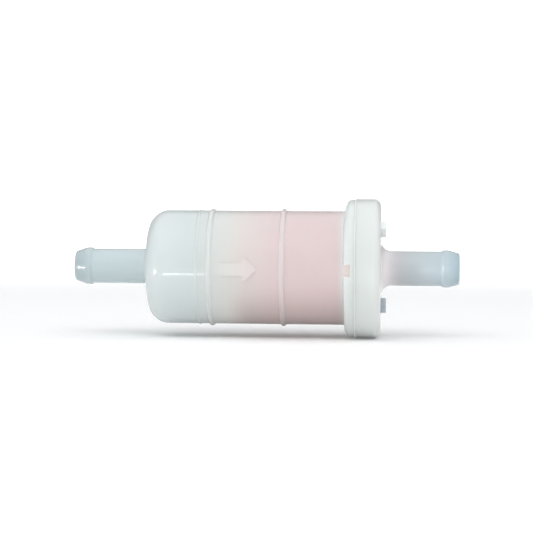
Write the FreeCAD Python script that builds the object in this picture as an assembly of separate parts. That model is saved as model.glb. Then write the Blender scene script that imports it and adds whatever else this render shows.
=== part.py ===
"""In-line fuel filter: a moulded nylon bowl with a pleated paper element, closed by a spun-on nylon cap.

Millimetres. The X axis is the filter's axis and fuel flows towards +X, as the raised arrow on the bowl says.
The arrow faces -Y and +Z is up. The origin is on the axis, half way between the two hose ends.
Fuel enters at -X, fills the bowl around the element, passes inwards through the pleated paper and the
perforated core, and leaves through the spigot and hose end of the cap at +X.
"""

import FreeCAD, Part
import math
import os

# Whole filter
LENGTH = 96.0

# Hose ends, made for hose of 8 mm bore
HOSE_LAND_R = 4.33
PASSAGE_R = 2.75
PASSAGE_INNER_R = 3.0
PASSAGE_STEP_X = 31.0
MOUTH_CHAMFER = 0.25
BEAD_R = 4.65
BEAD_CREST = 1.2
BEAD_SETBACK = 3.4
BEAD_FLANK = 0.5
BEAD_ROUND = 0.35
INLET_NOSE_R = 3.65
INLET_NOSE_ROUND = 0.6
OUTLET_NOSE_R = 3.9
OUTLET_NOSE_ROUND = 0.5

# Bowl
BOWL_R = 14.2
WALL = 1.6
DOME_ROOT_X = -30.15
DOME_FACE_LEAN = math.radians(8.7)
DOME_ROUND = 5.0
DOME_ROOT_ROUND = 0.5
RIB_STATIONS = (-13.4, 4.45)
RIB_HEIGHT = 0.45
RIB_WIDTH = 1.5
WITNESS_X = -16.45
WITNESS_HEIGHT = 0.17
WITNESS_WIDTH = 0.9

# Flange of the bowl, with the notch that held the bowl still while the cap was spun on
FLANGE_X = 19.5
FLANGE_R = 17.1
FLANGE_LEAN = 0.4
FLANGE_ROUND = 1.8
NOTCH_DEPTH = 1.7
NOTCH_WIDTH = 2.9

# Flow arrow, raised on the -Y side of the bowl
ARROW_TAIL_X = -10.8
ARROW_NECK_X = -5.1
ARROW_TIP_X = -1.5
ARROW_SHAFT_WIDTH = 3.2
ARROW_HEAD_WIDTH = 7.0
ARROW_HEIGHT = 0.3

# Welded joint between bowl and cap: a tongue in a groove and a thin ring of melted nylon
JOINT_X = 22.35
WELD_THICKNESS = 0.2
TONGUE_INNER_R = 14.7
TONGUE_OUTER_R = 15.9
TONGUE_LENGTH = 0.8
GROOVE_GAP = 0.15
FLASH_R = 17.4
FLASH_REACH = 0.3

# Cap
CAP_R = 17.3
CAP_BORE_R = 14.0
CAP_FACE_X = 28.55
CAP_END_WALL = 2.2
CAP_ROUND = 1.8
STUB_ROOT_ROUND = 2.7
LUG_HEIGHT = 1.3
LUG_CENTRE_R = 14.0
LUG_RADIAL = 3.2
LUG_WIDTH = 2.3
LUG_ANGLE = math.radians(45)
LUG_EDGE_ROUND = 0.25

# Spigot of the cap, which carries the element
SPIGOT_R = 4.05
SPIGOT_END_X = 20.3
BARB_R = 4.35
BARB_LENGTH = 0.9

# Element: end discs, potting, core and pleated paper
DISC_R = 11.8
DISC_THICKNESS = 1.5
DISC_SKIRT = 4.0
DISC_SKIRT_WALL = 0.55
CLOSED_DISC_X = -10.9
OPEN_DISC_X = 24.9
SEAL_INNER_R = 4.1
SEAL_OUTER_R = 5.9
SEAL_ROUND = 0.35
HUB_INNER_R = 4.15
HUB_OUTER_R = 4.7
HUB_LENGTH = 2.2
CORE_INNER_R = 4.75
CORE_OUTER_R = 5.35
CORE_HOLE_R = 1.0
CORE_HOLE_ROWS = 9
CORE_HOLES_ROUND = 6
POTTING_DEPTH = 1.2
PAPER_EMBEDDED = 0.6
PAPER_THICKNESS = 0.45
PLEATS = 24
PLEAT_TIP_R = 11.1
PLEAT_ROOT_R = 5.65
PLEAT_BEND_R = 0.45
SEAM_THICKNESS = 0.25
SEAM_REACH = 2.0

# Places that follow from the sizes above
INLET_TIP_X = -LENGTH / 2
OUTLET_TIP_X = LENGTH / 2
BOWL_BORE_R = BOWL_R - WALL
FLANGE_FACE_X = JOINT_X - WELD_THICKNESS / 2
RIM_FACE_X = JOINT_X + WELD_THICKNESS / 2
END_WALL_X = CAP_FACE_X - CAP_END_WALL
CLOSED_POTTING_X = CLOSED_DISC_X + DISC_THICKNESS
OPEN_POTTING_X = OPEN_DISC_X - DISC_THICKNESS
POTTING_OUTER_R = DISC_R - DISC_SKIRT_WALL


def vector(x, radius, angle=0.0):
    """A point at a station x, a radius from the axis and an angle from +Z towards +Y."""
    return FreeCAD.Vector(x, radius * math.sin(angle), radius * math.cos(angle))


def rounded_outline(corners):
    """A closed wire in the XZ plane. Each corner is (x, r) or (x, r, rounding radius)."""
    starts = []
    ends = []
    middles = []
    count = len(corners)
    for index, corner in enumerate(corners):
        here = vector(corner[0], corner[1])
        rounding = corner[2] if len(corner) == 3 else 0.0
        if not rounding:
            starts.append(here)
            ends.append(here)
            middles.append(None)
            continue
        before = vector(*corners[index - 1][:2]) - here
        after = vector(*corners[(index + 1) % count][:2]) - here
        before.normalize()
        after.normalize()
        half_angle = before.getAngle(after) / 2
        reach = rounding / math.tan(half_angle)
        bisector = before + after
        bisector.normalize()
        centre_distance = rounding / math.sin(half_angle)
        starts.append(here + before * reach)
        ends.append(here + after * reach)
        middles.append(here + bisector * (centre_distance - rounding))
    edges = []
    for index in range(count):
        if middles[index]:
            edges.append(Part.Arc(starts[index], middles[index], ends[index]).toShape())
        following = starts[(index + 1) % count]
        if ends[index].distanceToPoint(following) > 1e-6:
            edges.append(Part.makeLine(ends[index], following))
    return Part.Wire(edges)


def turned(corners):
    """The solid that a closed outline sweeps when it turns once about the X axis."""
    face = Part.Face(rounded_outline(corners))
    return face.revolve(FreeCAD.Vector(0, 0, 0), FreeCAD.Vector(1, 0, 0), 360)


def ring(x_start, x_end, inner_r, outer_r):
    """A plain ring between two stations, or a disc if its inner radius is 0."""
    return turned([(x_start, inner_r), (x_start, outer_r), (x_end, outer_r), (x_end, inner_r)])


def cylinder(x_start, x_end, radius):
    """A solid cylinder on the X axis."""
    return Part.makeCylinder(radius, x_end - x_start, FreeCAD.Vector(x_start, 0, 0), FreeCAD.Vector(1, 0, 0))


def hose_end(tip_x, inward, nose_r, nose_round):
    """Outline corners of a hose end: mouth, tapered nose, bead and land. inward is +1 or -1 along X."""
    crest_start = tip_x + inward * (BEAD_SETBACK - BEAD_CREST / 2)
    crest_end = tip_x + inward * (BEAD_SETBACK + BEAD_CREST / 2)
    return [
        (tip_x + inward * MOUTH_CHAMFER, PASSAGE_R),
        (tip_x, PASSAGE_R + MOUTH_CHAMFER),
        (tip_x, nose_r, nose_round),
        (crest_start, BEAD_R, BEAD_ROUND),
        (crest_end, BEAD_R, BEAD_ROUND),
        (crest_end + inward * BEAD_FLANK, HOSE_LAND_R, BEAD_ROUND),
    ]


def raised_band(x_centre, width, height):
    """Outline corners of a low rounded band around the bowl."""
    crest = width / 5
    rounding = width / 4
    return [
        (x_centre - width / 2, BOWL_R),
        (x_centre - crest, BOWL_R + height, rounding),
        (x_centre + crest, BOWL_R + height, rounding),
        (x_centre + width / 2, BOWL_R),
    ]


def bowl_shell():
    """The bowl before its arrow and notch: hose end, dome, barrel with its bands, and grooved flange."""
    lean = math.tan(DOME_FACE_LEAN)
    shoulder_x = DOME_ROOT_X + (BOWL_R - HOSE_LAND_R) * lean
    inner_root_x = DOME_ROOT_X + WALL / math.cos(DOME_FACE_LEAN)
    inner_shoulder_x = inner_root_x + (BOWL_BORE_R - HOSE_LAND_R) * lean
    passage_end_x = inner_root_x - (HOSE_LAND_R - PASSAGE_INNER_R) * lean
    corners = hose_end(INLET_TIP_X, 1, INLET_NOSE_R, INLET_NOSE_ROUND)
    corners += [(DOME_ROOT_X, HOSE_LAND_R, DOME_ROOT_ROUND), (shoulder_x, BOWL_R, DOME_ROUND)]
    corners += raised_band(WITNESS_X, WITNESS_WIDTH, WITNESS_HEIGHT)
    for station in RIB_STATIONS:
        corners += raised_band(station, RIB_WIDTH, RIB_HEIGHT)
    corners += [
        (FLANGE_X, BOWL_R),
        (FLANGE_X + FLANGE_LEAN, FLANGE_R, FLANGE_ROUND),
        (FLANGE_FACE_X, FLANGE_R),
        (FLANGE_FACE_X, TONGUE_OUTER_R + GROOVE_GAP),
        (FLANGE_FACE_X - TONGUE_LENGTH, TONGUE_OUTER_R + GROOVE_GAP),
        (FLANGE_FACE_X - TONGUE_LENGTH, TONGUE_INNER_R - GROOVE_GAP),
        (FLANGE_FACE_X, TONGUE_INNER_R - GROOVE_GAP),
        (FLANGE_FACE_X, BOWL_BORE_R),
        (inner_shoulder_x, BOWL_BORE_R, DOME_ROUND - WALL),
        (passage_end_x, PASSAGE_INNER_R),
        (-PASSAGE_STEP_X, PASSAGE_INNER_R),
        (-PASSAGE_STEP_X, PASSAGE_R),
    ]
    return turned(corners)


def flow_arrow():
    """The arrow as a curved plate, sunk a little into the bowl's wall so that the two fuse."""
    half_shaft = ARROW_SHAFT_WIDTH / 2
    half_head = ARROW_HEAD_WIDTH / 2
    outline = [
        (ARROW_TAIL_X, -half_shaft),
        (ARROW_NECK_X, -half_shaft),
        (ARROW_NECK_X, -half_head),
        (ARROW_TIP_X, 0),
        (ARROW_NECK_X, half_head),
        (ARROW_NECK_X, half_shaft),
        (ARROW_TAIL_X, half_shaft),
    ]
    points = [FreeCAD.Vector(x, 0, z) for x, z in outline]
    prism = Part.Face(Part.makePolygon(points + points[:1])).extrude(FreeCAD.Vector(0, -2 * BOWL_R, 0))
    plate = ring(ARROW_TAIL_X - 1, ARROW_TIP_X + 1, BOWL_R - WALL / 2, BOWL_R + ARROW_HEIGHT)
    return plate.common(prism)


def flange_notch():
    """The material that the notch takes out of the flange's left rim, down to the barrel, on the -Y side."""
    block = Part.makeBox(
        2 * NOTCH_DEPTH,
        2 * BOWL_R,
        NOTCH_WIDTH,
        FreeCAD.Vector(FLANGE_X - NOTCH_DEPTH, -2 * BOWL_R, -NOTCH_WIDTH / 2),
    )
    return block.cut(cylinder(FLANGE_X - 2 * NOTCH_DEPTH, FLANGE_X + 2 * NOTCH_DEPTH, BOWL_R))


def inlet_bowl():
    """The bowl with its raised arrow and the notch in its flange."""
    return bowl_shell().cut(flange_notch()).fuse(flow_arrow()).removeSplitter()


def drive_lug(angle):
    """A block on the cap's face that the spinning tool drove, with rounded outer edges."""
    block = Part.makeBox(
        LUG_HEIGHT + CAP_END_WALL / 2,
        LUG_WIDTH,
        LUG_RADIAL,
        FreeCAD.Vector(CAP_FACE_X - CAP_END_WALL / 2, -LUG_WIDTH / 2, LUG_CENTRE_R - LUG_RADIAL / 2),
    )
    outer_x = CAP_FACE_X + LUG_HEIGHT
    outer_edges = [edge for edge in block.Edges if edge.BoundBox.XMin > outer_x - 1e-6]
    block = block.makeFillet(LUG_EDGE_ROUND, outer_edges)
    block.rotate(FreeCAD.Vector(0, 0, 0), FreeCAD.Vector(1, 0, 0), math.degrees(angle))
    return block


def outlet_cap():
    """The cap: rim with its tongue, end wall, barbed spigot inside, hose end and two drive lugs outside."""
    corners = hose_end(OUTLET_TIP_X, -1, OUTLET_NOSE_R, OUTLET_NOSE_ROUND)
    corners += [
        (CAP_FACE_X, HOSE_LAND_R, STUB_ROOT_ROUND),
        (CAP_FACE_X, CAP_R, CAP_ROUND),
        (RIM_FACE_X, CAP_R),
        (RIM_FACE_X, TONGUE_OUTER_R),
        (RIM_FACE_X - TONGUE_LENGTH, TONGUE_OUTER_R),
        (RIM_FACE_X - TONGUE_LENGTH, TONGUE_INNER_R),
        (RIM_FACE_X, TONGUE_INNER_R),
        (RIM_FACE_X, CAP_BORE_R),
        (END_WALL_X, CAP_BORE_R, CAP_END_WALL / 2),
        (END_WALL_X, SPIGOT_R),
        (SPIGOT_END_X + BARB_LENGTH, SPIGOT_R),
        (SPIGOT_END_X + BARB_LENGTH, BARB_R),
        (SPIGOT_END_X, SPIGOT_R),
        (SPIGOT_END_X, PASSAGE_INNER_R),
        (PASSAGE_STEP_X, PASSAGE_INNER_R),
        (PASSAGE_STEP_X, PASSAGE_R),
    ]
    cap = turned(corners)
    for angle in (LUG_ANGLE, LUG_ANGLE + math.pi):
        cap = cap.fuse(drive_lug(angle))
    return cap.removeSplitter()


def weld_ring():
    """The melted nylon between flange and rim, with the lip of flash squeezed out round the outside."""
    inner_r = TONGUE_OUTER_R + GROOVE_GAP
    return turned([
        (FLANGE_FACE_X, inner_r),
        (FLANGE_FACE_X, FLANGE_R),
        (FLANGE_FACE_X - FLASH_REACH, FLANGE_R),
        (FLANGE_FACE_X - FLASH_REACH / 2, FLASH_R, FLASH_REACH / 3),
        (RIM_FACE_X, CAP_R),
        (RIM_FACE_X, inner_r),
    ])


def closed_end_disc():
    """The cup at the element's inlet end, with a boss that centres the core."""
    inner_x = CLOSED_POTTING_X
    return turned([
        (CLOSED_DISC_X, 0),
        (CLOSED_DISC_X, DISC_R, DISC_THICKNESS / 2),
        (CLOSED_DISC_X + DISC_SKIRT, DISC_R),
        (CLOSED_DISC_X + DISC_SKIRT, POTTING_OUTER_R),
        (inner_x, POTTING_OUTER_R),
        (inner_x, HUB_OUTER_R),
        (inner_x + DISC_THICKNESS, HUB_OUTER_R, DISC_THICKNESS / 4),
        (inner_x + DISC_THICKNESS, 0),
    ])


def open_end_disc():
    """The cup at the element's outlet end, with a hub that slides on the cap's spigot and snaps behind its barb."""
    inner_x = OPEN_POTTING_X
    return turned([
        (OPEN_DISC_X, HUB_INNER_R),
        (OPEN_DISC_X, DISC_R, DISC_THICKNESS / 2),
        (OPEN_DISC_X - DISC_SKIRT, DISC_R),
        (OPEN_DISC_X - DISC_SKIRT, POTTING_OUTER_R),
        (inner_x, POTTING_OUTER_R),
        (inner_x, HUB_OUTER_R),
        (inner_x - HUB_LENGTH, HUB_OUTER_R),
        (inner_x - HUB_LENGTH, HUB_INNER_R),
    ])


def element_neck_seal():
    """The rubber ring between the open end disc and the cap's end wall, around the spigot."""
    return turned([
        (OPEN_DISC_X, SEAL_INNER_R, SEAL_ROUND),
        (OPEN_DISC_X, SEAL_OUTER_R, SEAL_ROUND),
        (END_WALL_X, SEAL_OUTER_R, SEAL_ROUND),
        (END_WALL_X, SEAL_INNER_R, SEAL_ROUND),
    ])


def support_core():
    """The perforated tube that keeps the pleats from collapsing inwards, with its holes in staggered rows."""
    core = ring(CLOSED_POTTING_X, OPEN_POTTING_X, CORE_INNER_R, CORE_OUTER_R)
    first_x = CLOSED_POTTING_X + POTTING_DEPTH + 2 * CORE_HOLE_R
    last_x = OPEN_POTTING_X - HUB_LENGTH - 2 * CORE_HOLE_R
    row_step = (last_x - first_x) / (CORE_HOLE_ROWS - 1)
    hole_step = 2 * math.pi / CORE_HOLES_ROUND
    drills = []
    for row in range(CORE_HOLE_ROWS):
        centre = FreeCAD.Vector(first_x + row * row_step, 0, 0)
        for hole in range(CORE_HOLES_ROUND):
            direction = vector(0, 1, (hole + row % 2 / 2) * hole_step)
            drills.append(Part.makeCylinder(CORE_HOLE_R, 2 * CORE_OUTER_R, centre, direction))
    return core.cut(drills)


def pleat_flank(index, side):
    """Bend centres of a pleat's crest and of the valley beside it, and the outward normal of the paper between."""
    half_pitch = math.pi / PLEATS
    bend = PLEAT_BEND_R + PAPER_THICKNESS / 2
    angle = 2 * half_pitch * index
    crest = vector(0, PLEAT_TIP_R - bend, angle)
    valley = vector(0, PLEAT_ROOT_R + bend, angle + side * half_pitch)
    along = valley - crest
    distance = along.Length
    along.normalize()
    across = FreeCAD.Vector(side, 0, 0).cross(along)
    cosine = 2 * PLEAT_BEND_R / distance
    normal = along * cosine + across * math.sqrt(1 - cosine * cosine)
    return crest, valley, normal


def pleated_wire(offset):
    """One face of the folded paper as a closed wire at x = 0, offset outwards from the middle of the paper."""
    crest_bend = PLEAT_BEND_R + offset
    valley_bend = PLEAT_BEND_R - offset
    edges = []
    for index in range(PLEATS):
        crest, _, normal_before = pleat_flank(index, -1)
        _, valley, normal_after = pleat_flank(index, 1)
        _, _, normal_next = pleat_flank(index + 1, -1)
        crest_out = FreeCAD.Vector(crest).normalize()
        valley_out = FreeCAD.Vector(valley).normalize()
        crest_start = crest + normal_before * crest_bend
        crest_end = crest + normal_after * crest_bend
        valley_start = valley - normal_after * valley_bend
        valley_end = valley - normal_next * valley_bend
        edges.append(Part.Arc(crest_start, crest + crest_out * crest_bend, crest_end).toShape())
        edges.append(Part.makeLine(crest_end, valley_start))
        edges.append(Part.Arc(valley_start, valley - valley_out * valley_bend, valley_end).toShape())
        following = pleat_flank(index + 1, -1)
        edges.append(Part.makeLine(valley_end, following[0] + following[2] * crest_bend))
    return Part.Wire(edges)


def pleated_media():
    """The pleated paper, its ends sunk in the potting."""
    start_x = CLOSED_POTTING_X + POTTING_DEPTH - PAPER_EMBEDDED
    end_x = OPEN_POTTING_X - POTTING_DEPTH + PAPER_EMBEDDED
    outer = Part.Face(pleated_wire(PAPER_THICKNESS / 2))
    inner = Part.Face(pleated_wire(-PAPER_THICKNESS / 2))
    paper = outer.cut(inner)
    paper.translate(FreeCAD.Vector(start_x, 0, 0))
    return paper.extrude(FreeCAD.Vector(end_x - start_x, 0, 0))


def media_seam_strip():
    """The crimped strip over one pleat, where the two ends of the paper meet, on the +Y side."""
    index = PLEATS // 4
    inner_bend = PLEAT_BEND_R + PAPER_THICKNESS / 2
    outer_bend = inner_bend + SEAM_THICKNESS
    crest, valley, normal = pleat_flank(index, 1)
    _, other_valley, other_normal = pleat_flank(index, -1)
    radial = FreeCAD.Vector(crest).normalize()
    along = (valley - crest - normal * normal.dot(valley - crest)).normalize() * SEAM_REACH
    other_along = (other_valley - crest - other_normal * other_normal.dot(other_valley - crest)).normalize()
    other_along = other_along * SEAM_REACH
    points = {}
    for name, bend in (("inner", inner_bend), ("outer", outer_bend)):
        start = crest + other_normal * bend
        end = crest + normal * bend
        points[name] = (start + other_along, start, crest + radial * bend, end, end + along)
    edges = []
    for name in ("inner", "outer"):
        foot, start, top, end, other_foot = points[name]
        edges += [Part.makeLine(foot, start), Part.Arc(start, top, end).toShape(), Part.makeLine(end, other_foot)]
    edges.append(Part.makeLine(points["inner"][0], points["outer"][0]))
    edges.append(Part.makeLine(points["inner"][4], points["outer"][4]))
    strip = Part.Face(Part.Wire(Part.__sortEdges__(edges)))
    start_x = CLOSED_DISC_X + DISC_SKIRT
    end_x = OPEN_DISC_X - DISC_SKIRT
    strip.translate(FreeCAD.Vector(start_x, 0, 0))
    return strip.extrude(FreeCAD.Vector(end_x - start_x, 0, 0))


def potting(face_x, inward, media):
    """The adhesive in an end disc, cast round the ends of the paper. inward is +1 or -1 along X."""
    x_start, x_end = sorted((face_x, face_x + inward * POTTING_DEPTH))
    return ring(x_start, x_end, CORE_OUTER_R, POTTING_OUTER_R).cut(media)


def main():
    """Builds every piece and writes one STEP file for each."""
    media = pleated_media()
    pieces = {
        "inlet_bowl": inlet_bowl(),
        "outlet_cap": outlet_cap(),
        "weld_ring": weld_ring(),
        "closed_end_disc": closed_end_disc(),
        "open_end_disc": open_end_disc(),
        "closed_end_potting": potting(CLOSED_POTTING_X, 1, media),
        "open_end_potting": potting(OPEN_POTTING_X, -1, media),
        "pleated_media": media,
        "media_seam_strip": media_seam_strip(),
        "support_core": support_core(),
        "element_neck_seal": element_neck_seal(),
    }
    os.makedirs("parts", exist_ok=True)
    for name, shape in pieces.items():
        solids = len(shape.Solids)
        print(f"{name}: {solids} solid, valid {shape.isValid()}, {shape.Volume:.1f} mm3")
        shape.exportStep(f"parts/{name}.step")


main()
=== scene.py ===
"""In-line fuel filter: materials, pleated paper, weld flash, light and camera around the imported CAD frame.

The row frame: X along the filter's axis in the direction of flow, the flow arrow on -Y, +Z up. Places on the
filter and in the materials are in millimetres. The stage's shape, the lights and the camera are in metres.
"""
import math

import bpy
import numpy as np
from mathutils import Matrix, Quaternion, Vector, noise


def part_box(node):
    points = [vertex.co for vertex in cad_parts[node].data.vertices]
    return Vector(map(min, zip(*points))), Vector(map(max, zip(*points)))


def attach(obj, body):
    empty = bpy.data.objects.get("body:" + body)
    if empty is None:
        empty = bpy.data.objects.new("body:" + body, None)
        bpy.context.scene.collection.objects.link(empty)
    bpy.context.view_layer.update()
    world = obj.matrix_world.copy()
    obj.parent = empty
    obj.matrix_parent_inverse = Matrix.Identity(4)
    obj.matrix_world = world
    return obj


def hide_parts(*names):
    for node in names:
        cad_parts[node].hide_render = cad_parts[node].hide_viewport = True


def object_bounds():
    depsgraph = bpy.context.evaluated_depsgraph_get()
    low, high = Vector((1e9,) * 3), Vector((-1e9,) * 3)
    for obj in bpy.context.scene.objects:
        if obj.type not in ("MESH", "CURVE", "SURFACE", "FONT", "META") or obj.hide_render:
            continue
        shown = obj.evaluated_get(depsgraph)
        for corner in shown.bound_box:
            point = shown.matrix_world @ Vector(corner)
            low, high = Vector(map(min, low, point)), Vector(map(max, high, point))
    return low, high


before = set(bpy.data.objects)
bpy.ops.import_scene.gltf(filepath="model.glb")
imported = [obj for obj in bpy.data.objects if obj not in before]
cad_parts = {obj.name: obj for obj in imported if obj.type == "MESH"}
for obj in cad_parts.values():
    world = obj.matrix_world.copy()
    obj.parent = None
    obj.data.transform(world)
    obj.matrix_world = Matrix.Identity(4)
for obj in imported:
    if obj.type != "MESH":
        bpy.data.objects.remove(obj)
CAD_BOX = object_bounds()
MM = 0.001

# Camera: where it stands round the object, in degrees and metres, and what it looks at
CAMERA_AZIMUTH = 4.0
CAMERA_ELEVATION = 2.5
CAMERA_DISTANCE = 0.46
CAMERA_ROLL = 0.36
CAMERA_FIELD = 16.5
CAMERA_TARGET = Vector((-0.04, 0.0, 0.19)) * MM

# Stage: a round floor that curves up into a wall
FLOOR_MIDDLE = 0.3
FLOOR_RADIUS = 1.6
WALL_RADIUS = 2.4
WALL_HEIGHT = 2.0
WALL_BENDS = 12
STAGE_TURNS = 96

# Stage's paper: how much it glows and how grey it turns, and where, each place as (from, to) in millimetres
FLOOR_GLOW = 0.07
WALL_GLOW = 0.55
WALL_GREY = 0.30
PICTURE_MIDDLE_X = -170.0
GLOW_BY_DISTANCE = (150.0, 500.0)
GLOW_BY_DEPTH = (80.0, 350.0)
GREY_BY_SIDE = (520.0, 800.0)
GREY_BY_HEIGHT = (480.0, 700.0)
GREY_BY_DEPTH = (300.0, 1100.0)

# Light: the sky's colour and strength, and the key light's power in watts
SKY_COLOUR = (0.97, 0.985, 1.0, 1.0)
SKY = 0.98
KEY_PLACE = (-0.10, -0.62, 0.80)
KEY_SIZE = (1.1, 0.7)
KEY_POWER = 3.7

# Highlight strips: name, place, the point that it faces, length, width, power, and spread in degrees
STRIPS = (
    ("front_strip", (-0.0282, -0.064, -0.013), (-0.0282, -0.014, -0.0015), 0.0158, 0.0010, 0.0020, 180.0),
    ("side_strip", (-0.1020, -0.064, -0.013), (-0.0350, -0.010, -0.0010), 0.0240, 0.0012, 0.0340, 180.0),
    ("tip_strip", (0.0095, -0.0395, -0.006), (0.0435, -0.0045, -0.0010), 0.0016, 0.0100, 0.0016, 22.0),
)

# Places on the filter, in millimetres, from the frame
BOWL_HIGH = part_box("inlet_bowl")[1] / MM
CAP_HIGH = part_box("outlet_cap")[1] / MM
PAPER_LOW, PAPER_HIGH = (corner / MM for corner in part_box("pleated_media"))
WELD_FACE_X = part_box("weld_ring")[1].x / MM

# Places on the filter that the frame's boxes don't give
BARREL_R = 14.2
WITNESS_END_X = -15.9
RIB_HEIGHT = 0.45
ARROW_HEIGHT = 0.3
ARROW_MIDDLE_X = -6.2
ARROW_NECK = (-6.5, -4.5)
FLANGE_X = 19.5
NOTCH_MIDDLE_X = FLANGE_X + 0.8
CAP_FACE_X = 28.55
WELD_INNER_R = 16.05

# Pleated paper, in millimetres, with the lean in radians: its shape, and how far its pleats vary
PLEATS = 24
PAPER_THICKNESS = 0.45
PAPER_ROOT_R = 5.65
PAPER_ROWS = 44
BEND_R = 0.45
BEND_POINTS = 6
GRIPPED_END = 0.9
FREEING_LENGTH = 3.0
PLEAT_STILL_R = 6.4
PLEAT_LOOSE_DEPTH = 4.7
PLEAT_LEAN = 0.035
PLEAT_GROWTH = 0.25
PLEAT_DRAW_IN = 0.1

# Weld flash, in millimetres. Each lip measure is (least, added at a swell of 1), and LIP_SAG is the share by
# which the lip is higher at the bottom.
FLASH_TURNS = 360
LIP_POINTS = 7
WELD_THICKNESS = 0.2
WELD_GAP = 0.02
LIP_HEIGHT = (0.05, 0.13)
LIP_REACH = (0.24, 0.16)
LIP_SAG = 0.6
SWELL_LEAST = 0.12
SWELL_MOST = 1.1

# Nylon colours
WHITE_NYLON = (0.800, 0.880, 0.880)
CLEAR_NYLON = (0.690, 0.790, 0.810)
THICK_NYLON = (0.715, 0.760, 0.735)
RAISED_NYLON = (0.940, 0.955, 0.955)
# Painted light on the ribs' sides
RIB_SIDE_LIGHT = (0.920, 0.970, 0.970)
# Painted shade: the colour the bowl darkens to below the element
UNDERSIDE_SHADE = (0.450, 0.360, 0.340)
# Painted light: the notch's colour, lighter than its shade
NOTCH_PAINTED_LIGHT = (1.000, 0.890, 0.860)
UPPER_LUG = (0.790, 0.830, 0.830)
# Painted shade: the lugs below the axis are darker and bluer
LOWER_LUG_SHADE = (0.560, 0.630, 0.700)
# Colour of the painted glow in the notch and in the flange's corner
PAINTED_GLOW_COLOUR = (1.000, 0.820, 0.760)

# How much of each tone, painted shade, painted light and painted glow shows where its mask is 1, and how
# clear the nylon is. The cap's hose end has the rim's and the cap's clarity together.
CLOUD_SHARE = 0.10
UNDERSIDE_SHADE_SHARE = 0.54
ARROW_SHARE = 0.10
RIB_SIDE_LIGHT_SHARE = 0.40
RAISED_DENSITY = 0.10
ARROW_DENSITY = 0.08
FLANGE_DENSITY = 0.94
NOTCH_PAINTED_GLOW = 0.15
CORNER_PAINTED_GLOW = 0.05
BOWL_CLARITY = 0.32
CAP_CLARITY = 0.33
RIM_CLARITY = 0.03

# Tint of the bowl along the axis, as (place, colour): hose end, dome, empty chamber, element, paper, flange
BOWL_TINT_RANGE = (-48.0, 22.0)
BOWL_TINTS = (
    (-48.0, (0.490, 0.590, 0.620)),
    (-45.5, (0.560, 0.665, 0.690)),
    (-43.0, CLEAR_NYLON),
    (-32.0, CLEAR_NYLON),
    (-29.0, (0.880, 0.960, 0.960)),
    (-24.0, (0.860, 0.935, 0.935)),
    (-18.0, WHITE_NYLON),
    (-9.5, (0.900, 0.895, 0.850)),
    (-5.0, (0.930, 0.850, 0.820)),
    (2.0, (0.940, 0.775, 0.765)),
    (17.6, (0.940, 0.735, 0.735)),
    # The barrel whitens towards the flange: partly thicker nylon, partly painted light lifting the shade by
    # the flange
    (18.6, (0.965, 0.850, 0.840)),
    (19.3, (1.000, 0.990, 0.985)),
)

# Tint of the cap along the axis: rim, root of the hose end, hose end, its tip
CAP_TINT_RANGE = (20.0, 48.0)
CAP_TINTS = (
    (20.0, THICK_NYLON),
    (28.0, THICK_NYLON),
    (28.7, (0.870, 0.820, 0.835)),
    (31.0, (0.820, 0.780, 0.800)),
    (33.0, (0.740, 0.750, 0.770)),
    (36.0, (0.680, 0.740, 0.760)),
    (44.5, (0.665, 0.775, 0.820)),
    (46.5, (0.595, 0.715, 0.765)),
    (48.0, (0.470, 0.600, 0.660)),
)

# How light scatters in both mouldings, and the gloss of their skin
MOULDED_NYLON = dict(
    Subsurface_Weight=0.6,
    Subsurface_Radius=(1.0, 0.95, 0.90),
    Subsurface_Scale=1.6 * MM,
    IOR=1.5,
    Specular_IOR_Level=0.35,
    Coat_Weight=0.9,
    Coat_Roughness=0.12,
)


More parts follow.
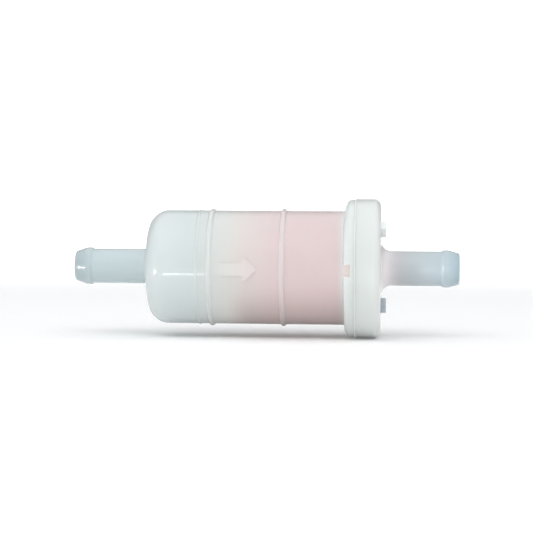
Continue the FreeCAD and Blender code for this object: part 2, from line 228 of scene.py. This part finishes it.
class Nodes:
    """Short calls for building one material's node tree."""

    def __init__(self, name):
        self.material = bpy.data.materials.new(name)
        self.material.use_nodes = True
        self.tree = self.material.node_tree
        self.shader = self.tree.nodes["Principled BSDF"]

    def new(self, kind):
        return self.tree.nodes.new("ShaderNode" + kind)

    def put(self, socket, value):
        """Links another node's output to the socket, or sets its value. A colour may leave out its alpha."""
        if isinstance(value, bpy.types.NodeSocket):
            self.tree.links.new(value, socket)
        elif socket.type == "RGBA" and len(value) == 3:
            socket.default_value = (*value, 1.0)
        else:
            socket.default_value = value

    def set(self, **values):
        """Sets the shader's own sockets. Base_Color means the socket Base Color."""
        for key, value in values.items():
            self.put(self.shader.inputs[key.replace("_", " ")], value)

    def math(self, operation, a, b=0.0, clamp=False):
        node = self.new("Math")
        node.operation = operation
        node.use_clamp = clamp
        self.put(node.inputs[0], a)
        self.put(node.inputs[1], b)
        return node.outputs[0]

    def times(self, first, *others):
        product = first
        for value in others:
            product = self.math("MULTIPLY", product, value)
        return product

    def plus(self, a, b):
        return self.math("ADD", a, b)

    def inverse(self, mask):
        return self.math("SUBTRACT", 1.0, mask)

    def gap(self, value, centre):
        """How far value is from centre."""
        return self.math("ABSOLUTE", self.math("SUBTRACT", value, centre))

    def place(self):
        """The place in the row frame, in millimetres."""
        return self.stretch(self.new("TexCoord").outputs["Object"], (1 / MM,) * 3)

    def stretch(self, vector, factors):
        node = self.new("VectorMath")
        node.operation = "MULTIPLY"
        self.put(node.inputs[0], vector)
        self.put(node.inputs[1], factors)
        return node.outputs[0]

    def axes(self, place):
        split = self.new("SeparateXYZ")
        self.put(split.inputs[0], place)
        return split.outputs[0], split.outputs[1], split.outputs[2]

    def length(self, a, b):
        """Length of the vector (a, b)."""
        return self.math("SQRT", self.plus(self.times(a, a), self.times(b, b)))

    def step(self, value, low, high):
        """0 at low and 1 at high, smooth between. It falls where low is above high."""
        node = self.new("MapRange")
        node.interpolation_type = "SMOOTHSTEP"
        for socket, given in zip(node.inputs, (value, low, high, 0.0, 1.0)):
            self.put(socket, given)
        return node.outputs[0]

    def mix(self, factor, a, b):
        """Colour a where factor is 0 and colour b where it is 1."""
        node = self.new("Mix")
        node.data_type = "RGBA"
        for index, given in ((0, factor), (6, a), (7, b)):
            self.put(node.inputs[index], given)
        return node.outputs[2]

    def noise(self, place, scale, detail=2.0, roughness=0.5):
        node = self.new("TexNoise")
        for key, given in (("Vector", place), ("Scale", scale), ("Detail", detail), ("Roughness", roughness)):
            self.put(node.inputs[key], given)
        return node.outputs[0]

    def bump(self, height, strength, distance):
        """Bump on the shader, with its height in units of distance, in metres."""
        node = self.new("Bump")
        for key, given in (("Height", height), ("Strength", strength), ("Distance", distance)):
            self.put(node.inputs[key], given)
        self.put(self.shader.inputs["Normal"], node.outputs[0])

    def ramp(self, value, span, stops):
        """A colour that runs through stops, each (place, colour), where value crosses span."""
        low, high = span
        node = self.new("ValToRGB")
        node.color_ramp.interpolation = "B_SPLINE"
        elements = node.color_ramp.elements
        while len(elements) < len(stops):
            elements.new(0.5)
        for element, (place, colour) in zip(elements, stops):
            element.position = (place - low) / (high - low)
            element.color = (*colour, 1.0)
        share = self.math("DIVIDE", self.math("SUBTRACT", value, low), high - low, clamp=True)
        self.put(node.inputs[0], share)
        return node.outputs[0]


def moulded_surface(n, place):
    """Fine unevenness of a moulded face: a soft orange peel, and polishing lines that run along the mould."""
    peel = n.noise(place, 1.1, 3.0)
    lines = n.noise(n.stretch(place, (0.12, 2.2, 2.2)), 1.6)
    n.bump(n.plus(peel, n.times(lines, 0.6)), 0.25, 0.02 * MM)
    n.set(Roughness=n.plus(0.50, n.times(lines, 0.08)))


def bowl_relief(n, x, radius, tint):
    """Lightens the arrow's head and paints light on the ribs' sides. Returns the tint, and how dense the
    relief looks.
    """
    raised = n.step(radius, BARREL_R + 0.1, BARREL_R + ARROW_HEIGHT - 0.02)
    arrow = n.times(raised, n.step(n.gap(x, ARROW_MIDDLE_X), 5.8, 5.0))
    head = n.times(arrow, n.plus(0.25, n.times(n.step(x, *ARROW_NECK), 0.75)))
    tint = n.mix(n.times(head, ARROW_SHARE), tint, RAISED_NYLON)
    # Painted light: the ribs' sides are lightened to lift the shade of their creases
    low_side = n.step(radius, BARREL_R + 0.02, BARREL_R + 0.08)
    high_side = n.step(radius, BARREL_R + RIB_HEIGHT, BARREL_R + RIB_HEIGHT - 0.09)
    past_witness = n.step(x, WITNESS_END_X, WITNESS_END_X + 0.2)
    rib_side_light = n.times(low_side, past_witness, high_side, n.inverse(arrow))
    tint = n.mix(n.times(rib_side_light, RIB_SIDE_LIGHT_SHARE), tint, RIB_SIDE_LIGHT)
    return tint, n.plus(n.times(raised, RAISED_DENSITY), n.times(head, ARROW_DENSITY))


def notch_mask(n, x, y, z):
    """1 in the notch of the flange's rim, and 0 elsewhere."""
    across = n.step(n.math("ABSOLUTE", z), 1.50, 1.40)
    along = n.step(n.gap(x, NOTCH_MIDDLE_X), 0.95, 0.85)
    return n.times(across, n.step(y, -13.0, -13.5), along)


def bowl_material():
    """Natural nylon: milky over the empty chamber, warm over the element, white where it is thick."""
    n = Nodes("bowl_nylon")
    place = n.place()
    x, y, z = n.axes(place)
    radius = n.length(y, z)
    moulded_surface(n, place)
    tint = n.ramp(x, BOWL_TINT_RANGE, BOWL_TINTS)
    cloud = n.noise(place, 0.16, 3.0, 0.6)
    tint = n.mix(n.times(n.step(cloud, 0.35, 0.75), CLOUD_SHARE), tint, WHITE_NYLON)
    # Painted shade: darker towards the bottom over the element, standing in for the element's unlit underside
    under_shade = n.times(n.step(z, -3.0, -15.0), n.step(x, -10.0, -3.0))
    tint = n.mix(n.times(under_shade, UNDERSIDE_SHADE_SHARE), tint, UNDERSIDE_SHADE)
    tint, dense = bowl_relief(n, x, radius, tint)
    outside = n.step(radius, BARREL_R + 0.5, BARREL_R + 0.8)
    flange = n.times(n.step(x, FLANGE_X - 0.1, FLANGE_X + 0.1), outside)
    # The flange's own white nylon, with painted light on its left face that lifts the shade of its crease
    flange_tint_and_light = n.mix(n.step(x, FLANGE_X + 1.3, FLANGE_X + 0.2), THICK_NYLON, WHITE_NYLON)
    tint = n.mix(flange, tint, flange_tint_and_light)
    # Painted light: the notch is lightened and glows faintly, standing in for light through the flange's
    # nylon
    notch = notch_mask(n, x, y, z)
    solid = n.math("MAXIMUM", n.times(flange, FLANGE_DENSITY), dense)
    # Painted light: a faint glow in the crease where the barrel meets the flange, lifting its shade
    corner = n.times(
        n.step(x, FLANGE_X - 0.6, FLANGE_X - 0.15),
        n.step(radius, BARREL_R + 0.6, BARREL_R + 0.2),
    )
    n.set(
        Base_Color=n.mix(notch, tint, NOTCH_PAINTED_LIGHT),
        Transmission_Weight=n.times(BOWL_CLARITY, n.inverse(solid)),
        Emission_Color=PAINTED_GLOW_COLOUR,
        Emission_Strength=n.math("MAXIMUM", n.times(notch, NOTCH_PAINTED_GLOW), n.times(corner, CORNER_PAINTED_GLOW)),
        **MOULDED_NYLON,
    )
    return n.material


def cap_material():
    """The cap's nylon: white and dense in the rim and lugs, clearer and cooler in the hose end."""
    n = Nodes("cap_nylon")
    place = n.place()
    x, y, z = n.axes(place)
    moulded_surface(n, place)
    tint = n.ramp(x, CAP_TINT_RANGE, CAP_TINTS)
    lugs = n.times(n.step(n.length(y, z), 9.0, 11.0), n.step(x, CAP_FACE_X - 0.1, CAP_FACE_X + 0.1))
    # Painted shade: lugs below the axis turn darker and bluer
    lug_tint_and_shade = n.mix(n.step(z, 0.0, -6.0), UPPER_LUG, LOWER_LUG_SHADE)
    thin = n.step(x, CAP_FACE_X + 1.0, CAP_FACE_X + 5.0)
    n.set(
        Base_Color=n.mix(lugs, tint, lug_tint_and_shade),
        Transmission_Weight=n.plus(RIM_CLARITY, n.times(thin, CAP_CLARITY)),
        **MOULDED_NYLON,
    )
    return n.material


def weld_material():
    """Melted nylon: a little duller and rougher than the moulded faces."""
    n = Nodes("weld_nylon")
    grain = n.noise(n.place(), 3.0, 3.0)
    n.bump(grain, 0.5, 0.05 * MM)
    n.set(
        Base_Color=n.mix(grain, (0.79, 0.83, 0.81), (0.86, 0.89, 0.87)),
        Roughness=0.55,
        Transmission_Weight=0.03,
    )
    return n.material


def paper_material():
    """Pink resin-treated filter paper: fibres laid both ways and blotchy resin."""
    n = Nodes("filter_paper")
    place = n.place()
    along = n.noise(n.stretch(place, (1.0, 7.0, 7.0)), 1.3, 4.0, 0.65)
    across = n.noise(n.stretch(place, (7.0, 1.0, 1.0)), 1.3, 4.0, 0.65)
    fibres = n.times(n.plus(along, across), 0.5)
    blotches = n.noise(place, 0.35, 3.0, 0.6)
    tint = n.mix(n.step(fibres, 0.35, 0.65), (0.80, 0.33, 0.32), (0.92, 0.50, 0.48))
    tint = n.mix(n.times(n.step(blotches, 0.45, 0.7), 0.35), tint, (0.84, 0.36, 0.38))
    n.bump(fibres, 0.6, 0.06 * MM)
    n.set(Base_Color=tint, Roughness=0.88, Specular_IOR_Level=0.25)
    return n.material


def plain_moulding(name, dark, light, roughness, clear=0.0):
    """A plain moulded or cast piece: two close shades and a fine uneven face."""
    n = Nodes(name)
    place = n.place()
    shade = n.noise(place, 0.8, 3.0, 0.6)
    n.bump(n.noise(place, 2.5, 3.0), 0.3, 0.03 * MM)
    n.set(
        Base_Color=n.mix(shade, dark, light),
        Roughness=n.plus(roughness - 0.05, n.times(shade, 0.1)),
        Transmission_Weight=clear,
    )
    return n.material


def stage_material():
    """White paper that glows behind the filter. Past the picture's edge it is grey, to shade the limbs."""
    n = Nodes("stage_paper")
    place = n.place()
    x, y, z = n.axes(place)
    grain = n.noise(place, 0.6, 3.0)
    aside = n.step(n.gap(x, PICTURE_MIDDLE_X), *GREY_BY_SIDE)
    behind = n.times(n.step(n.length(x, y), *GLOW_BY_DISTANCE), n.step(y, *GLOW_BY_DEPTH), n.inverse(aside))
    glow = n.plus(FLOOR_GLOW, n.times(behind, WALL_GLOW))
    dim = n.times(n.math("MAXIMUM", aside, n.step(z, *GREY_BY_HEIGHT)), n.step(y, *GREY_BY_DEPTH))
    n.set(
        Base_Color=n.mix(dim, n.mix(grain, (0.90,) * 3, (0.93,) * 3), (WALL_GREY,) * 3),
        Roughness=0.9,
        Specular_IOR_Level=0.1,
        Emission_Color=(1.0, 1.0, 1.0),
        Emission_Strength=n.times(glow, n.inverse(dim)),
    )
    return n.material


def mesh_object(name, verts, faces, material):
    """A smooth object from its vertices, in metres, and its faces."""
    mesh = bpy.data.meshes.new(name)
    mesh.from_pydata([tuple(v) for v in verts], [], faces)
    mesh.materials.append(material)
    mesh.validate()
    mesh.polygons.foreach_set("use_smooth", [True] * len(mesh.polygons))
    piece = bpy.data.objects.new(name, mesh)
    bpy.context.scene.collection.objects.link(piece)
    return piece


def grid_faces(rows, columns, closed_rows=False, closed_columns=False):
    """Quads of a grid of points, stored row by row, that may close on itself either way."""
    faces = []
    for row in range(rows if closed_rows else rows - 1):
        for column in range(columns if closed_columns else columns - 1):
            next_row = (row + 1) % rows
            next_column = (column + 1) % columns
            faces.append((
                row * columns + column,
                row * columns + next_column,
                next_row * columns + next_column,
                next_row * columns + column,
            ))
    return faces


def bend(centre, first, last):
    """Points round one bend of the paper, from one angle to the other."""
    angles = np.linspace(first, last, BEND_POINTS)
    return [centre + BEND_R * np.array([math.cos(angle), math.sin(angle)]) for angle in angles]


def half_pleat():
    """The paper's middle line from a crest to the next valley, as points (u, v) with u through the crest."""
    reach = BEND_R + PAPER_THICKNESS / 2
    half_pitch = math.pi / PLEATS
    crest = np.array([PAPER_HIGH.z - reach, 0.0])
    valley = (PAPER_ROOT_R + reach) * np.array([math.cos(half_pitch), math.sin(half_pitch)])
    along = valley - crest
    distance = np.linalg.norm(along)
    along = along / distance
    across = np.array([-along[1], along[0]])
    across = across if across[1] > 0 else -across
    cosine = 2 * BEND_R / distance
    normal = along * cosine + across * math.sqrt(1 - cosine ** 2)
    lean = math.atan2(normal[1], normal[0])
    return bend(crest, 0, lean) + bend(valley, lean + math.pi, half_pitch + math.pi)


def pleated_paper(material):
    """The sleeve of pleated paper. Each pleat differs a little, except at its ends, which are gripped."""
    half = half_pleat()
    profile = [np.array([u, -v]) for u, v in half[:0:-1]] + half[:-1]
    pitch = 2 * math.pi / PLEATS
    largest = PAPER_HIGH.z - PAPER_THICKNESS / 2
    verts = []
    for x in np.linspace(PAPER_LOW.x, PAPER_HIGH.x, PAPER_ROWS):
        free = (min(x - PAPER_LOW.x, PAPER_HIGH.x - x) - GRIPPED_END) / FREEING_LENGTH
        free = min(max(free, 0.0), 1.0)
        for pleat in range(PLEATS):
            lean = noise.noise(Vector((x * 0.09, pleat * 3.7, 1.0))) * PLEAT_LEAN * free
            grow = noise.noise(Vector((x * 0.07, pleat * 5.3, 9.0))) * PLEAT_GROWTH * free
            for u, v in profile:
                radius = math.hypot(u, v)
                share = max(0.0, (radius - PLEAT_STILL_R) / PLEAT_LOOSE_DEPTH)
                angle = math.atan2(v, u) + pleat * pitch + lean * share
                radius = min(radius + (grow - PLEAT_DRAW_IN * free) * share, largest)
                verts.append(Vector((x, radius * math.sin(angle), radius * math.cos(angle))) * MM)
    faces = grid_faces(PAPER_ROWS, PLEATS * len(profile), closed_columns=True)
    paper = mesh_object("pleated_paper", verts, faces, material)
    thick = paper.modifiers.new("thickness", "SOLIDIFY")
    thick.thickness = PAPER_THICKNESS * MM
    thick.offset = 0.0
    return paper


def flash_section(swell, low):
    """One section of the weld as (x, radius) points. Swell makes the lip larger, and low makes it higher."""
    flange_r = BOWL_HIGH.z - WELD_GAP
    cap_r = CAP_HIGH.z - WELD_GAP
    height = (LIP_HEIGHT[0] + LIP_HEIGHT[1] * swell) * (1.0 + LIP_SAG * low)
    reach = LIP_REACH[0] + LIP_REACH[1] * swell
    section = [(WELD_FACE_X, WELD_INNER_R), (WELD_FACE_X, cap_r)]
    for k in range(LIP_POINTS):
        turn = math.pi * k / (LIP_POINTS - 1)
        share = (1 - math.cos(turn)) / 2
        section.append((
            WELD_FACE_X - reach * share,
            cap_r - (cap_r - flange_r) * share + height * math.sin(turn),
        ))
    far_x = WELD_FACE_X - WELD_THICKNESS
    return section + [(far_x, flange_r), (far_x, WELD_INNER_R)]


def weld_flash(material):
    """The weld: a thin ring between flange and rim, whose lip of flash swells and thins round the joint."""
    verts = []
    for turn in range(FLASH_TURNS):
        angle = 2 * math.pi * turn / FLASH_TURNS
        way = Vector((0.0, math.sin(angle), math.cos(angle)))
        swell = 0.5 + noise.noise(way * 2.3) + 0.5 * noise.noise(way * 11.0)
        swell = min(max(swell, SWELL_LEAST), SWELL_MOST)
        for x, radius in flash_section(swell, max(0.0, -way.z) ** 4):
            verts.append((way * radius + Vector((x, 0.0, 0.0))) * MM)
    faces = grid_faces(FLASH_TURNS, len(verts) // FLASH_TURNS, True, True)
    return mesh_object("weld_flash", verts, faces, material)


def stage_dish():
    """A pale floor that curves up all round into a low wall."""
    floor_z = CAD_BOX[0].z
    profile = [(0.0, 0.0), (FLOOR_MIDDLE, 0.0), (FLOOR_RADIUS, 0.0)]
    rise = WALL_RADIUS - FLOOR_RADIUS
    for k in range(1, WALL_BENDS + 1):
        angle = math.pi / 2 * k / WALL_BENDS
        profile.append((FLOOR_RADIUS + rise * math.sin(angle), rise * (1 - math.cos(angle))))
    profile.append((WALL_RADIUS, WALL_HEIGHT))
    verts = []
    for turn in range(STAGE_TURNS):
        angle = 2 * math.pi * turn / STAGE_TURNS
        for r, z in profile:
            verts.append((r * math.cos(angle), r * math.sin(angle), z + floor_z))
    faces = grid_faces(STAGE_TURNS, len(profile), closed_rows=True)
    mesh_object("stage_floor", verts, faces, stage_material())


def area_light(name, place, target, length, width, power):
    data = bpy.data.lights.new(name, "AREA")
    data.shape = "RECTANGLE"
    data.size = length
    data.size_y = width
    data.energy = power
    lamp = bpy.data.objects.new(name, data)
    lamp.location = place
    lamp.rotation_mode = "QUATERNION"
    lamp.rotation_quaternion = (Vector(target) - Vector(place)).to_track_quat("-Z", "Y")
    bpy.context.scene.collection.objects.link(lamp)
    return lamp


def highlight_strips():
    """Small lights that make only highlights on the filter: on dome, inlet tip and outlet bead."""
    receivers = bpy.data.collections.new("highlight_receivers")
    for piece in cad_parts.values():
        receivers.objects.link(piece)
    for name, place, target, length, width, power, spread in STRIPS:
        strip = area_light(name, place, target, length, width, power)
        strip.data.spread = math.radians(spread)
        strip.visible_camera = False
        strip.visible_diffuse = False
        strip.visible_transmission = False
        strip.light_linking.receiver_collection = receivers


def studio():
    """Even white surroundings, a broad soft light above the front, and the strips for highlights."""
    scene = bpy.context.scene
    scene.view_settings.view_transform = "Standard"
    world = bpy.data.worlds.new("studio")
    world.use_nodes = True
    background = world.node_tree.nodes["Background"]
    background.inputs["Color"].default_value = SKY_COLOUR
    background.inputs["Strength"].default_value = SKY
    scene.world = world
    key = area_light("key_light", KEY_PLACE, (0, 0, 0), *KEY_SIZE, KEY_POWER)
    key.visible_glossy = False
    highlight_strips()


def camera():
    """A long lens almost level with the filter, turned a little towards its outlet end."""
    data = bpy.data.cameras.new("camera")
    data.sensor_width = 36.0
    data.lens = data.sensor_width / 2 / math.tan(math.radians(CAMERA_FIELD) / 2)
    data.clip_start = 0.01
    data.clip_end = 20.0
    azimuth = math.radians(CAMERA_AZIMUTH)
    elevation = math.radians(CAMERA_ELEVATION)
    back = Vector((
        math.sin(azimuth) * math.cos(elevation),
        -math.cos(azimuth) * math.cos(elevation),
        math.sin(elevation),
    ))
    eye = bpy.data.objects.new("camera", data)
    eye.location = CAMERA_TARGET + back * CAMERA_DISTANCE
    eye.rotation_mode = "QUATERNION"
    roll = Quaternion((0.0, 0.0, 1.0), math.radians(CAMERA_ROLL))
    eye.rotation_quaternion = (-back).to_track_quat("-Z", "Y") @ roll
    bpy.context.scene.collection.objects.link(eye)
    bpy.context.scene.camera = eye


def paint(material, *nodes):
    """Gives CAD nodes their material."""
    for node in nodes:
        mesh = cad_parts[node].data
        mesh.materials.clear()
        mesh.materials.append(material)


PAPER = paper_material()
WELD = weld_material()
ELEMENT = plain_moulding("element_nylon", (0.80, 0.77, 0.66), (0.88, 0.86, 0.78), 0.45)
POTTING = plain_moulding("potting_adhesive", (0.78, 0.62, 0.34), (0.86, 0.74, 0.48), 0.22, clear=0.15)
SEAM = plain_moulding("seam_nylon", (0.84, 0.80, 0.72), (0.90, 0.87, 0.80), 0.5)
RUBBER = plain_moulding("nitrile_rubber", (0.015, 0.015, 0.016), (0.035, 0.035, 0.036), 0.6)

paint(bowl_material(), "inlet_bowl")
paint(cap_material(), "outlet_cap")
paint(ELEMENT, "closed_end_disc", "open_end_disc", "support_core")
paint(POTTING, "closed_end_potting", "open_end_potting")
paint(SEAM, "media_seam_strip")
paint(RUBBER, "element_neck_seal")

paper = pleated_paper(PAPER)
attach(paper, "root")
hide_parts("pleated_media")

flash = weld_flash(WELD)
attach(flash, "root")
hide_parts("weld_ring")

stage_dish()
studio()
camera()
